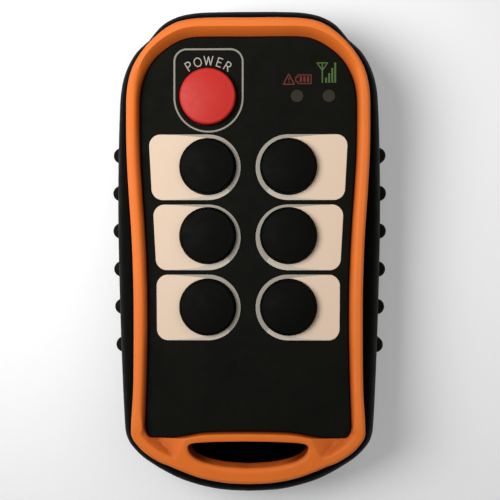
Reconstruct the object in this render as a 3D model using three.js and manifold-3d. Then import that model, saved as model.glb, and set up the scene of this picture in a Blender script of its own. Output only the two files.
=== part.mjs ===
// Handheld radio control transmitter: a one-hand pushbutton station with six function keys, a red power key,
// two indicator windows, a rubber bumper with a lanyard slot, ribbed side grips and a two-cell battery bay.
// Millimetres. The handset lies on its back: +Z comes out of the keypad, +Y points to the antenna end and
// +X to the right of the keypad. The origin is on the resting plane, under the middle of the case.
import * as THREE from "three";
import { ConvexGeometry } from "three/addons/geometries/ConvexGeometry.js";
import { mergeVertices } from "three/addons/utils/BufferGeometryUtils.js";
import Module from "manifold-3d";

const wasm = await Module();
wasm.setup();

// ---------- Driving dimensions ----------

const FIT = 0.3; // gap kept between neighbouring pieces
const OPEN = 2; // how far a cutter runs past the face that it opens

// Levels above the resting plane
const REAR_TOP = 19.7; // rim of the rear housing
const SPLIT = 20; // underside of the front housing's rim
const SHOULDER = 27; // roof of the front housing, which carries the bumper
const DECK_UNDER = 26.8;
const DECK_TOP = 29.2;
const OVERLAY_UNDER = 29.5;
const OVERLAY_TOP = 30;
const BUMPER_TOP = 33.6;
const LINING_END = 21.5; // lower end of the collar that lines the lanyard slot
const LIP_DROP = 1.5; // the slot's rim is rounded off from this far below the crest
const FOOT_START = -51.2; // from here to the foot the bumper's crest falls away
const FOOT_SLOPE = 0.2;
const RIM_WIDTH = 2.9; // bumper's rim at the lower corners
const VALLEY_FLOOR = 29.4; // lowest level of the hollows inside that rim
const BOARD_UNDER = 18.8;
const BOARD_TOP = 20.4;

const WALL = 2.6; // housing walls and floor

// Keys
const KEY_X = 11.8; // the two key columns stand at plus and minus this
const KEY_ROWS = [24.7, 4.5, -16.4];
const PANEL_ROWS = [24.5, 4, -16.5]; // a legend panel's middle, just below its key's
const POWER_Y = 45.1;
const KEY_RADIUS = 8;
const POWER_RADIUS = 8.2;
const KEY_PLAY = 0.35; // between a cap and its hole
const KEY_FLANGE = 9.3; // keeps the cap under the deck
const PANEL_RADIUS = 9.6; // round end of a legend panel, about the key
const PANEL_MARGIN = 2.7; // from a panel's outer edge to the keypad outline

// Indicators
const LAMPS = [14.3, 23.6];
const LAMP_Y = 45.3;
const LAMP_RADIUS = 1.9;

// Side grips
const RIB_PITCH = 11.45;
const RIB_COUNT = 6;
const RIB_RADIUS = 2.4;
const RIB_SINK = 0.2; // the rib's axis lies this far inside the case side
const GRIP_LENGTH = 74;
const GRIP_DEPTH = 1.4;
const GRIP_Z = [4.6, 17.4];

// Battery bay, for two AA cells lying side by side
const CELL_RADIUS = 7.1;
const CELL_BODY = 49.2;
const CELL_X = 7.4;
const CELL_Z = 9.7;
const BAY = { x: 31, y: 58, roof: 17.3, middle: -8 }; // inside of the tray
const TRAY_WALL = 1.2;
const DOOR = { x: 40, y: 66, under: 0.5, top: 2.2 };
const DOOR_TRAVEL = 6;
const DOOR_RECESS = 2.5;

// Case screws
const SCREWS = [[26, 52], [-26, 52], [26, -46], [-26, -46]];
const SCREW_SHANK = 1.5;
const SCREW_HOLE = SCREW_SHANK + 0.35;
const SCREW_HEAD = 2.75;
const SCREW_SEAT = 3.4; // depth of the counterbore

// Each half outline runs from the top centre down the right side to the bottom centre.
// The case has a corner where the end cap meets the side, so its half outline is two splines.
const CASE_HALF = [
  [[0, 71.4], [9, 71.35], [16, 71.05], [21.5, 69.85], [26, 67.3], [29.7, 62.9]],
  [[29.7, 62.9], [33.6, 59.3], [36.5, 54.3], [38.2, 48], [38.8, 38], [39.15, 22], [39.15, 6], [38.7, -14],
    [38.1, -32], [37.3, -49], [36.5, -55.4], [33.6, -59.7], [29.1, -63.3], [20.5, -68], [10, -70.9], [0, -71.6]],
];
const BUMPER_HALF = [
  [[0, 67.8], [10, 67.8], [17.5, 67.3], [22.5, 65.7], [27.4, 62], [31.3, 57.5], [33.9, 52.7], [35.2, 47],
    [35.45, 40], [35.3, 28], [34.65, 16], [33.85, 4], [33.35, -10], [33.25, -24], [33.4, -40], [34, -50.5],
    [33.75, -54.4], [31.25, -57.9], [28.45, -60.2], [25.6, -61.9], [22.8, -63], [19.9, -64.3], [14, -66.5],
    [7, -67.9], [0, -68.3]],
];
const KEYPAD_HALF = [
  [[0, 62.7], [9, 62.75], [16, 62.6], [20.2, 61.5], [24.6, 58.8], [28.1, 55.2], [30.5, 50.5], [31.6, 45.5],
    [31.75, 38], [31.6, 28], [31, 18], [30.2, 6], [29.55, -8], [29.4, -22], [29.65, -36], [30.05, -48],
    [30.1, -51.7], [29, -54.1], [26.5, -54.7], [22, -54.6], [18, -54], [13.5, -53.2], [8, -52.9], [0, -52.8]],
];

// Lanyard slot through the bumper, and the smaller slot behind it through the rear housing
const SLOT_HALF = [
  [[0, -55.3], [8, -55.4], [14, -55.7], [16.8, -56.2], [17.5, -57.5], [16, -59.9], [12.4, -61.7], [7, -62.9],
    [0, -63.4]],
];
const REAR_SLOT_HALF = [[[0, -54.6], [8, -54.7], [14, -55.1], [15.8, -56.8], [13.6, -59], [8, -60], [0, -60.2]]];

// ---------- Outlines ----------

const BEND_WEIGHT = 16; // millimetres of straight outline that count the same as one radian of bend

// A closed outline, symmetric about the Y axis, kept as a fine polygon that runs clockwise from the top centre.
class Outline {
  constructor(points) {
    this.points = points;
  }

  static fromHalf(splines, stepsPerSpan = 12) {
    const half = [];
    for (const spline of splines) {
      const curve = new THREE.SplineCurve(spline.map(([x, y]) => new THREE.Vector2(x, y)));
      half.push(...curve.getPoints(stepsPerSpan * (spline.length - 1)).slice(half.length ? 1 : 0));
    }
    const mirrored = half.slice(1, -1).reverse().map((p) => new THREE.Vector2(-p.x, p.y));
    return new Outline([...half, ...mirrored]);
  }

  // Distance from a point to the outline.
  distance(p) {
    let best = Infinity;
    this.points.forEach((a, i) => {
      const b = this.points[(i + 1) % this.points.length];
      const ab = b.clone().sub(a);
      const share = THREE.MathUtils.clamp(p.clone().sub(a).dot(ab) / ab.lengthSq(), 0, 1);
      best = Math.min(best, p.distanceTo(a.clone().addScaledVector(ab, share)));
    });
    return best;
  }

  // The outline moved inwards by a distance, or outwards by a negative one, or by a function of the point.
  inset(amount) {
    const moved = this.points.map((p, i) => {
      const before = this.points.at(i - 1);
      const after = this.points[(i + 1) % this.points.length];
      const along = after.clone().sub(before).normalize();
      const by = typeof amount === "function" ? amount(p) : amount;
      return { by, at: new THREE.Vector2(p.x + along.y * by, p.y - along.x * by) };
    });
    return new Outline(moved.filter(({ by, at }) => this.distance(at) > Math.abs(by) - 0.02).map((m) => m.at));
  }

  // Where the ray from the centre at a heading, measured from +Y towards +X, leaves the outline.
  at(heading, centre) {
    const ray = new THREE.Vector2(Math.sin(heading), Math.cos(heading));
    let far = 0;
    this.points.forEach((p, i) => {
      const a = p.clone().sub(centre);
      const b = this.points[(i + 1) % this.points.length].clone().sub(centre);
      const sideA = ray.cross(a);
      const sideB = ray.cross(b);
      if (sideA * sideB > 0 || sideA === sideB) return;
      const hit = a.lerp(b, sideA / (sideA - sideB));
      far = Math.max(far, hit.dot(ray));
    });
    return ray.multiplyScalar(far).add(centre);
  }

  // Points round the outline, closer together where it bends.
  spaced(count) {
    const around = (i) => this.points.at(i % this.points.length);
    const weights = [0];
    this.points.forEach((p, i) => {
      const along = around(i + 1).clone().sub(p);
      const ahead = around(i + 2).clone().sub(around(i + 1));
      weights.push(weights[i] + along.length() + BEND_WEIGHT * Math.abs(along.angleTo(ahead)));
    });
    let span = 0;
    return Array.from({ length: count }, (_, k) => {
      const target = (weights.at(-1) * k) / count;
      while (weights[span + 1] < target) span += 1;
      const share = (target - weights[span]) / (weights[span + 1] - weights[span]);
      return around(span).clone().lerp(around(span + 1), share);
    });
  }
}

const ORIGIN = new THREE.Vector2(0, 0);
const SLOT_CENTRE = new THREE.Vector2(0, -58.2);
const headingsOf = (points, centre = ORIGIN) =>
  points.map((p) => Math.atan2(p.x - centre.x, p.y - centre.y));

const caseOutline = Outline.fromHalf(CASE_HALF);
const bumperOutline = Outline.fromHalf(BUMPER_HALF);
const keypadOutline = Outline.fromHalf(KEYPAD_HALF);
const slotOutline = Outline.fromHalf(SLOT_HALF);
const rearSlotOutline = Outline.fromHalf(REAR_SLOT_HALF);

const caseHeadings = headingsOf(caseOutline.spaced(60));
const keypadHeadings = headingsOf(keypadOutline.spaced(56));
const slotHeadings = headingsOf(slotOutline.spaced(22), SLOT_CENTRE);

const caseRing = (outline) => caseHeadings.map((h) => outline.at(h, ORIGIN));
const keypadRing = (outline) => keypadHeadings.map((h) => outline.at(h, ORIGIN));
const slotRing = (outline) => slotHeadings.map((h) => outline.at(h, SLOT_CENTRE));
const mixRings = (a, b, share) => a.map((p, i) => p.clone().lerp(b[i], share));

// ---------- Solids ----------

// A closed body through rings of equal length, each [height, points running clockwise], from the lowest up.
function loft(rings) {
  const count = rings[0][1].length;
  const positions = rings.flatMap(([z, points]) => points.flatMap((p) => [p.x, p.y, z]));
  const faces = [];
  for (let r = 0; r + 1 < rings.length; r += 1) {
    for (let i = 0; i < count; i += 1) {
      const a = r * count + i;
      const b = r * count + ((i + 1) % count);
      faces.push(a, a + count, b, b, a + count, b + count);
    }
  }
  const last = (rings.length - 1) * count;
  for (const [i, j, k] of THREE.ShapeUtils.triangulateShape(rings[0][1], [])) {
    faces.push(i, k, j);
  }
  for (const [i, j, k] of THREE.ShapeUtils.triangulateShape(rings.at(-1)[1], [])) {
    faces.push(last + i, last + j, last + k);
  }
  const geometry = new THREE.BufferGeometry();
  geometry.setAttribute("position", new THREE.Float32BufferAttribute(positions, 3));
  geometry.setIndex(faces);
  return geometry;
}

const prism = (points, low, high) => loft([[low, points], [high, points]]);

const box = (x, y, low, high, centreX = 0, centreY = 0) =>
  new THREE.BoxGeometry(x, y, high - low).translate(centreX, centreY, (low + high) / 2);

const disc = (radius, low, high, x = 0, y = 0, sides = 16) =>
  new THREE.CylinderGeometry(radius, radius, high - low, sides)
    .rotateX(Math.PI / 2)
    .translate(x, y, (low + high) / 2);

// A body turned about Z from a profile of [radius, height] points that starts low and runs up the outside.
const turned = (profile, sides) =>
  new THREE.LatheGeometry(profile.map(([r, z]) => new THREE.Vector2(r, z)), sides).rotateX(Math.PI / 2);

function solidOf(geometry) {
  const bare = geometry.clone();
  bare.deleteAttribute("normal");
  bare.deleteAttribute("uv");
  const merged = mergeVertices(bare, 1e-4);
  return new wasm.Manifold(
    new wasm.Mesh({
      numProp: 3,
      vertProperties: merged.attributes.position.array,
      triVerts: new Uint32Array(merged.index.array),
    }),
  );
}

function geometryOf(solid) {
  const mesh = solid.getMesh();
  const geometry = new THREE.BufferGeometry();
  geometry.setAttribute("position", new THREE.BufferAttribute(mesh.vertProperties, 3));
  geometry.setIndex(new THREE.BufferAttribute(mesh.triVerts, 1));
  geometry.computeVertexNormals();
  return geometry;
}

// Joins geometries, then takes others away.
function carve(joined, removed = []) {
  let solid = joined.map(solidOf).reduce((a, b) => a.add(b));
  for (const cutter of removed) solid = solid.subtract(solidOf(cutter));
  return geometryOf(solid);
}

// ---------- Materials ----------

const plastic = (color, roughness) => new THREE.MeshStandardMaterial({ color, roughness, metalness: 0 });
const metal = (color, roughness) => new THREE.MeshStandardMaterial({ color, roughness, metalness: 1 });

const CASE_BLACK = plastic(0x1b1c19, 0.6);
const RUBBER_BLACK = plastic(0x121311, 0.8);
const OVERLAY_BLACK = plastic(0x181914, 0.55);
const KEY_BLACK = plastic(0x0e0f0d, 0.5);
const BUMPER_ORANGE = plastic(0xea7b36, 0.55);
const POWER_RED = plastic(0xcf3c30, 0.5);
const PANEL_CREAM = plastic(0xe8ccb0, 0.6);
const LAMP_SMOKE = plastic(0x3c382f, 0.2);
const BOARD_GREEN = plastic(0x1f5c3a, 0.5);
const SILICONE_GREY = plastic(0x9aa0a0, 0.7);
const CHIP_BLACK = plastic(0x202124, 0.45);
const CELL_BLUE = plastic(0x2f5f8f, 0.35);
const NICKEL = metal(0xc6c4bd, 0.3);
const SCREW_STEEL = metal(0x8d8d8b, 0.35);
const LED_RED = plastic(0xd04030, 0.3);
const LED_GREEN = plastic(0x50a040, 0.3);

const transmitter = new THREE.Group();

function add(name, geometry, material, position = [0, 0, 0]) {
  const mesh = new THREE.Mesh(geometry, material);
  mesh.name = name;
  mesh.position.set(...position);
  transmitter.add(mesh);
  return mesh;
}

// ---------- Case ----------

// The strip of case side, on the right, between two insets from the case outline.
function sideStrip(outer, inner, length, [low, high]) {
  const onSide = (outline) =>
    [...Array(9).keys()].map((k) => {
      const y = length * (0.5 - k / 8);
      return outline.at(Math.atan2(40, y), ORIGIN);
    });
  const outerEdge = onSide(caseOutline.inset(outer));
  const innerEdge = onSide(caseOutline.inset(inner)).reverse();
  return prism([...outerEdge, ...innerEdge], low, high);
}

const mirrored = (geometry) => {
  const copy = geometry.clone().scale(-1, 1, 1);
  const index = copy.index.array;
  for (let i = 0; i < index.length; i += 3) [index[i + 1], index[i + 2]] = [index[i + 2], index[i + 1]];
  return copy;
};

function rearHousing() {
  const bodyRings = [[0, 4.6], [1.1, 2.4], [3, 0.8], [5.5, 0], [REAR_TOP, 0]]
    .map(([z, inset]) => [z, caseRing(caseOutline.inset(inset))]);
  const cavityRings = [[WALL, 5.6], [4, 3.6], [6.5, WALL], [REAR_TOP + OPEN, WALL]]
    .map(([z, inset]) => [z, caseRing(caseOutline.inset(inset))]);
  const shell = carve([loft(bodyRings)], [loft(cavityRings)]);
  const padTop = DOOR_RECESS + 2.1;
  const pad = box(DOOR.x + 6, DOOR.y + DOOR_TRAVEL + 8, WALL - 1, padTop, 0, BAY.middle - DOOR_TRAVEL / 2);
  const bosses = SCREWS.flatMap(([x, y]) => [
    disc(4.7, WALL - 1, SCREW_SEAT + 1.8, x, y),
    disc(3.3, SCREW_SEAT, BOARD_UNDER - FIT, x, y),
  ]);
  const tunnel = prism(slotRing(rearSlotOutline.inset(-1.7)), WALL - 1, REAR_TOP);
  const gripPocket = sideStrip(-1, GRIP_DEPTH + FIT, GRIP_LENGTH + 2 * FIT, [GRIP_Z[0] - FIT, GRIP_Z[1] + FIT]);
  const tongueSlots = [-1, 1].map((side) =>
    box(7, 4, 1, DOOR_RECESS, side * 11, BAY.middle + DOOR.y / 2 + 1.9));
  return carve([shell, pad, ...bosses, tunnel], [
    prism(caseRing(caseOutline.inset(1)), REAR_TOP - 1.1, REAR_TOP + OPEN),
    prism(slotRing(rearSlotOutline), -OPEN, REAR_TOP + OPEN),
    box(DOOR.x + 2 * FIT, DOOR.y + 2 * FIT + DOOR_TRAVEL, -OPEN, DOOR_RECESS, 0, BAY.middle - DOOR_TRAVEL / 2),
    box(BAY.x + 2 * (TRAY_WALL + FIT), BAY.y + 2 * (TRAY_WALL + FIT), -OPEN, padTop + OPEN, 0, BAY.middle),
    ...tongueSlots,
    gripPocket,
    mirrored(gripPocket),
    ...SCREWS.flatMap(([x, y]) => [
      disc(SCREW_HEAD + 0.4, -OPEN, SCREW_SEAT, x, y),
      disc(SCREW_HOLE, SCREW_SEAT - 1, BOARD_UNDER, x, y, 12),
    ]),
  ]);
}

function frontHousing() {
  const side = caseRing(caseOutline);
  const crown = caseRing(bumperOutline);
  const body = loft([
    [SPLIT, side],
    [SPLIT + 2.4, mixRings(side, crown, 0.06)],
    [SPLIT + 4.8, mixRings(side, crown, 0.3)],
    [SPLIT + 6.3, mixRings(side, crown, 0.6)],
    [SHOULDER, mixRings(side, crown, 0.88)],
  ]);
  const deck = prism(keypadRing(keypadOutline.inset(0.35)), SHOULDER - 1, DECK_TOP);
  const roofUnder = SHOULDER - WALL;
  const hollow = carve([body, deck], [
    prism(caseRing(caseOutline.inset(WALL + 0.2)), SPLIT - OPEN, roofUnder),
    prism(keypadRing(keypadOutline.inset(1.6)), roofUnder - 1, DECK_UNDER),
  ]);
  const slotWall = prism(slotRing(slotOutline.inset(-3)), SPLIT, SHOULDER - 0.5);
  const bosses = SCREWS.map(([x, y]) => disc(3.2, BOARD_TOP + FIT, DECK_UNDER - 1, x, y));
  const keyHoles = keyPlaces().map(([x, y]) =>
    disc(keyRadius(y) + KEY_PLAY, DECK_UNDER - 1, DECK_TOP + OPEN, x, y, 20));
  const lampHoles = LAMPS.map((x) => disc(LAMP_RADIUS + FIT, DECK_UNDER - 1, DECK_TOP + OPEN, x, LAMP_Y, 12));
  const pilots = SCREWS.map(([x, y]) => disc(SCREW_HOLE, BOARD_TOP, DECK_UNDER - 1.4, x, y, 12));
  return carve([hollow, slotWall, ...bosses], [
    prism(slotRing(slotOutline.inset(-1.5)), SPLIT - OPEN, DECK_TOP + OPEN),
    ...keyHoles,
    ...lampHoles,
    ...pilots,
  ]);
}

// How far the bumper's inner wall reaches back from the keypad outline at a share of its height. It is a plain
// slope at the top end, a rounding at the sides and a small rounding at the slot.
const wallReach = ({ y }, share) => {
  const top = THREE.MathUtils.smoothstep(y, 44, 60);
  const bottom = THREE.MathUtils.smoothstep(-y, 46, 52);
  const rounded = 1 - Math.sqrt(1 - share ** 2);
  return (1.7 + 0.7 * top - 1.1 * bottom) * (top * share + (1 - top) * rounded);
};

// How far the slot's rim is rounded: only along its lower side.
const lipReach = ({ y }) => 1.7 * THREE.MathUtils.smoothstep(-y, 56.5, 60.5);

// The hollow at the lower right corner of the bumper. Its floor starts just below the keypad and rises to the
// slot's raised lip, and its steep side climbs to the rim.
function cornerValley() {
  const floorAt = (x, y) => VALLEY_FLOOR + 0.08 * (-54.3 - y) + 0.55 * Math.max(0, 24.5 - x);
  const floor = [34, 24.5, 17].flatMap((x) =>
    [-51, -54, -62].map((y) => new THREE.Vector3(x, y, Math.max(floorAt(x, y), VALLEY_FLOOR))));
  const ceiling = floor.map(({ x, y }) => new THREE.Vector3(x, y, BUMPER_TOP + 6));
  const aboveFloor = new ConvexGeometry([...floor, ...ceiling]);
  const withinRim = loft([
    [VALLEY_FLOOR - 0.4, caseRing(bumperOutline.inset(RIM_WIDTH + 2.8))],
    [BUMPER_TOP + 1, caseRing(bumperOutline.inset(RIM_WIDTH - 1.3))],
  ]);
  return geometryOf(solidOf(aboveFloor).intersect(solidOf(withinRim)));
}

function bumper() {
  const body = loft([
    [SHOULDER + FIT, caseRing(bumperOutline)],
    [BUMPER_TOP - 1.2, caseRing(bumperOutline.inset(0.15))],
    [BUMPER_TOP - 0.3, caseRing(bumperOutline.inset(0.45))],
    [BUMPER_TOP, caseRing(bumperOutline.inset(0.95))],
  ]);
  const lining = prism(slotRing(slotOutline.inset(-1.2)), LINING_END, SHOULDER + 1);
  const window = loft([
    [SHOULDER, keypadRing(keypadOutline)],
    ...[0, 0.6, 0.9, 1].map((share) => [
      OVERLAY_TOP + (BUMPER_TOP + 0.01 - OVERLAY_TOP) * share,
      keypadRing(keypadOutline.inset((p) => -wallReach(p, share))),
    ]),
  ]);
  // The slot's cutter is sheared so that its rounded rim keeps to the sloping crest.
  const lipRing = (share) => slotRing(slotOutline.inset((p) => -share * lipReach(p)));
  const slot = loft([
    [SPLIT - OPEN, lipRing(0)],
    [BUMPER_TOP - LIP_DROP, lipRing(0)],
    [BUMPER_TOP - 0.35 * LIP_DROP, lipRing(0.25)],
    [BUMPER_TOP, lipRing(1)],
    [BUMPER_TOP + OPEN, lipRing(1)],
  ])
    .applyMatrix4(new THREE.Matrix4().makeShear(0, 0, 0, FOOT_SLOPE, 0, 0))
    .translate(0, 0, -FOOT_SLOPE * FOOT_START);
  const aboveFoot = new THREE.BoxGeometry(90, 30, 10)
    .translate(0, -15, 5)
    .rotateX(Math.atan(FOOT_SLOPE))
    .translate(0, FOOT_START, BUMPER_TOP);
  const valley = cornerValley();
  return carve([body, lining], [
    window,
    slot,
    aboveFoot,
    valley,
    mirrored(valley),
  ]);
}

function sideGrip() {
  const pad = sideStrip(0, GRIP_DEPTH, GRIP_LENGTH, GRIP_Z);
  const ribs = [...Array(RIB_COUNT).keys()].map((k) => {
    const y = RIB_PITCH * ((RIB_COUNT - 1) / 2 - k) + 0.3;
    const onSide = caseOutline.at(Math.atan2(39, y), ORIGIN);
    return disc(RIB_RADIUS, GRIP_Z[0] + 0.2, GRIP_Z[1] - 0.1, onSide.x - RIB_SINK, onSide.y, 16);
  });
  // The ribs may not reach through the pad into the case.
  const behind = sideStrip(GRIP_DEPTH, GRIP_DEPTH + 3, GRIP_LENGTH + 4, [0, REAR_TOP]);
  return carve([pad, ...ribs], [behind]);
}

function housingGasket() {
  return carve(
    [prism(caseRing(caseOutline.inset(1.3)), REAR_TOP - 0.8, REAR_TOP)],
    [prism(caseRing(caseOutline.inset(WALL)), REAR_TOP - OPEN, REAR_TOP + OPEN)],
  );
}

// ---------- Keypad ----------

function keyPlaces() {
  const keys = KEY_ROWS.flatMap((y) => [[-KEY_X, y], [KEY_X, y]]);
  return [...keys, [-KEY_X, POWER_Y]];
}

const keyRadius = (y) => (y === POWER_Y ? POWER_RADIUS : KEY_RADIUS);

// Right-hand legend panel about its middle: round on the inside, square on the outside, following the keypad edge.
function panelPoints(middleY, grow) {
  const radius = PANEL_RADIUS + grow;
  const edge = keypadOutline.inset(PANEL_MARGIN - grow);
  const edgeX = (y) => edge.at(Math.atan2(28, middleY + y), ORIGIN).x - KEY_X;
  const corner = 3.4;
  const shape = new THREE.Shape();
  shape.moveTo(0, -radius);
  shape.absarc(0, 0, radius, -Math.PI / 2, Math.PI / 2, true);
  shape.lineTo(edgeX(radius) - corner, radius);
  shape.quadraticCurveTo(edgeX(radius), radius, edgeX(radius - corner), radius - corner);
  shape.lineTo(edgeX(corner - radius), corner - radius);
  shape.quadraticCurveTo(edgeX(-radius), -radius, edgeX(-radius) - corner, -radius);
  return shape.getPoints(6);
}

const circlePath = (x, y, radius, steps = 20) =>
  new THREE.Path([...Array(steps).keys()].map((k) => {
    const turn = (2 * Math.PI * k) / steps;
    return new THREE.Vector2(x + radius * Math.cos(turn), y + radius * Math.sin(turn));
  }));

const plate = (shape, low, high) =>
  new THREE.ExtrudeGeometry(shape, { depth: high - low, bevelEnabled: false, curveSegments: 8 })
    .translate(0, 0, low);

function legendPanel(middleY, keyY, side) {
  const points = panelPoints(middleY, 0).map((p) => new THREE.Vector2(p.x * side, p.y));
  const shape = new THREE.Shape(points);
  shape.holes.push(circlePath(0, keyY - middleY, KEY_RADIUS + KEY_PLAY));
  return plate(shape, OVERLAY_UNDER, OVERLAY_TOP - 0.05);
}

function keypadOverlay() {
  const shape = new THREE.Shape(keypadOutline.inset(0.5).spaced(56).reverse());
  for (const y of PANEL_ROWS) {
    for (const side of [-1, 1]) {
      const cutout = panelPoints(y, FIT).map((p) => new THREE.Vector2((KEY_X + p.x) * side, y + p.y));
      shape.holes.push(new THREE.Path(cutout));
    }
  }
  shape.holes.push(circlePath(-KEY_X, POWER_Y, POWER_RADIUS + KEY_PLAY));
  for (const x of LAMPS) shape.holes.push(circlePath(x, LAMP_Y, LAMP_RADIUS + FIT, 12));
  return plate(shape, OVERLAY_UNDER, OVERLAY_TOP);
}

// Key cap: a crowned skirt with a flange below the deck and a stem that presses the silicone dome.
const KEY_FOOT = 24.9;
const keyCap = (radius) => [
  [0, KEY_FOOT], [2.1, KEY_FOOT], [2.1, 31], [6.4, 31], [6.4, 25.1], [KEY_FLANGE, 25.1],
  [KEY_FLANGE, DECK_UNDER - FIT], [radius, DECK_UNDER - FIT], [radius, 31.6], [radius - 0.5, 32.4], [4.4, 33.1],
  [0, 33.4],
];

// Silicone dome: it seals the switch, pushes the key back up and carries the pill that works the switch.
const DOME_TOP = KEY_FOOT - FIT;
const SWITCH_TOP = DOME_TOP - 1.3;
const DOME = [
  [0, SWITCH_TOP + FIT], [1.3, SWITCH_TOP + FIT], [2.6, 23.9], [5.4, 21.4], [5.4, BOARD_TOP + FIT],
  [6.4, BOARD_TOP + FIT], [6.4, 21.5], [3.2, DOME_TOP], [0, DOME_TOP],
];

const tactSwitch = () =>
  carve([box(5.2, 5.2, BOARD_TOP + FIT, 22.3), disc(1.2, 22, SWITCH_TOP, 0, 0, 12)]);

// Light pipe: its window is flush with the overlay and a collar keeps it under the deck.
const LIGHT_PIPE = [
  [0, 22.6], [1.4, 22.6], [1.4, 25.2], [2.8, 25.2], [2.8, DECK_UNDER - FIT], [LAMP_RADIUS, DECK_UNDER - FIT],
  [LAMP_RADIUS, OVERLAY_TOP - 0.1], [LAMP_RADIUS - 0.1, OVERLAY_TOP], [0, OVERLAY_TOP],
];

// ---------- Inside ----------

function mainBoard() {
  const shape = new THREE.Shape(keypadOutline.inset(1).spaced(44));
  for (const [x, y] of SCREWS) shape.holes.push(circlePath(x, y, SCREW_HOLE + 0.2, 12));
  return plate(shape, BOARD_UNDER, BOARD_TOP);
}

function batteryTray() {
  const { x, y, roof, middle } = BAY;
  const outerX = x + 2 * TRAY_WALL;
  const outerY = y + 2 * TRAY_WALL;
  const tails = [-1, 1].map((side) => box(2.8, 1.3, roof - 1, roof + OPEN, side * CELL_X, middle - y / 2 + 0.65));
  return carve(
    [box(outerX, outerY, 2.9, roof + TRAY_WALL, 0, middle), box(outerX + 4, outerY + 4, 4.9, 6.1, 0, middle)],
    [box(x, y, 0, roof, 0, middle), ...tails],
  );
}

function batteryDoor() {
  const { x, y, under, top } = DOOR;
  const tongues = [-1, 1].map((side) => box(6.2, 5, 1.3, top, side * 11, BAY.middle + y / 2 + 0.5));
  const thumbGrooves = [...Array(4).keys()].map((k) =>
    box(16, 1, under - 1, under + 0.5, 0, BAY.middle - y / 2 + 6 + 2.2 * k));
  return carve([box(x, y, under, top, 0, BAY.middle), ...tongues], thumbGrooves);
}

// Pan head machine screw with a cross recess, standing on its head.
function caseScrew() {
  const head = 1.2; // height of the head's face above the resting plane
  return carve(
    [disc(SCREW_HEAD, head, SCREW_SEAT - FIT), disc(SCREW_SHANK, SCREW_SEAT - 1, DECK_UNDER - 1.8, 0, 0, 12)],
    [box(3, 0.7, head - 1, head + 1), box(0.7, 3, head - 1, head + 1)],
  );
}

// AA cell along Y, with its button at +Y.
function batteryCell() {
  const half = CELL_BODY / 2;
  const profile = [[0, -half], [CELL_RADIUS, -half], [CELL_RADIUS, half], [2.6, half], [2.6, half + 1.2], [0, half + 1.2]];
  return new THREE.LatheGeometry(profile.map(([r, y]) => new THREE.Vector2(r, y)), 16);
}

// Conical coil spring along Y, wide end at the origin.
class Coil extends THREE.Curve {
  getPoint(share, target = new THREE.Vector3()) {
    const turn = 2 * Math.PI * 3 * share;
    const radius = 4.2 - 1.8 * share;
    return target.set(radius * Math.cos(turn), 0.5 + 4.2 * share, radius * Math.sin(turn));
  }
}

function contactSpring() {
  const wire = new THREE.Shape(circlePath(0, 0, 0.4, 5).getPoints());
  return new THREE.ExtrudeGeometry(wire, { extrudePath: new Coil(), steps: 24, bevelEnabled: false });
}

// Antenna wire, bent along the inside of the top end.
function antennaWire() {
  const bend = new THREE.CatmullRomCurve3(
    [[-22, 54.5], [-18, 57.5], [-10, 58.6], [0, 58.8], [10, 58.6], [17, 57.8]]
      .map(([x, y]) => new THREE.Vector3(x, y, BOARD_TOP + 1.7)),
  );
  const wire = new THREE.Shape(circlePath(0, 0, 0.6, 8).getPoints());
  return new THREE.ExtrudeGeometry(wire, { extrudePath: bend, steps: 14, bevelEnabled: false });
}

// ---------- Assembly ----------

add("rear_housing", rearHousing(), CASE_BLACK);
add("front_housing", frontHousing(), CASE_BLACK);
add("bumper_bezel", bumper(), BUMPER_ORANGE);
add("housing_gasket", housingGasket(), SILICONE_GREY);
const rightGrip = sideGrip();
add("right_grip", rightGrip, RUBBER_BLACK);
add("left_grip", mirrored(rightGrip), RUBBER_BLACK);

add("keypad_overlay", keypadOverlay(), OVERLAY_BLACK);
keyPlaces().forEach(([x, y], i) => {
  const isPower = y === POWER_Y;
  const label = isPower ? "power" : `key_${i + 1}`;
  if (!isPower) {
    const middleY = PANEL_ROWS[KEY_ROWS.indexOf(y)];
    add(`legend_panel_${i + 1}`, legendPanel(middleY, y, Math.sign(x)), PANEL_CREAM, [x, middleY, 0]);
  }
  const cap = turned(keyCap(keyRadius(y)), 18);
  add(isPower ? "power_button" : `button_${i + 1}`, cap, isPower ? POWER_RED : KEY_BLACK, [x, y, 0]);
  add(`${label}_dome`, turned(DOME, 10), SILICONE_GREY, [x, y, 0]);
  add(`${label}_switch`, tactSwitch(), CHIP_BLACK, [x, y, 0]);
});

const LAMP_NAMES = ["battery", "signal"];
LAMPS.forEach((x, i) => {
  add(`${LAMP_NAMES[i]}_light_pipe`, turned(LIGHT_PIPE, 12), LAMP_SMOKE, [x, LAMP_Y, 0]);
  add(`${LAMP_NAMES[i]}_led`, box(2, 3.2, BOARD_TOP + FIT, 22.2), i ? LED_GREEN : LED_RED, [x, LAMP_Y, 0]);
});

add("main_board", mainBoard(), BOARD_GREEN);
add("radio_module", box(20, 24, 15.4, BOARD_UNDER - FIT, -14, 36), NICKEL);
add("controller_chip", box(11, 11, 17, BOARD_UNDER - FIT, 14, 31), CHIP_BLACK);
add("buzzer", disc(6, 13.2, BOARD_UNDER - FIT), CHIP_BLACK, [14, 47, 0]);
add("antenna_wire", antennaWire(), NICKEL);

SCREWS.forEach(([x, y], i) => add(`case_screw_${i + 1}`, caseScrew(), SCREW_STEEL, [x, y, 0]));

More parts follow.
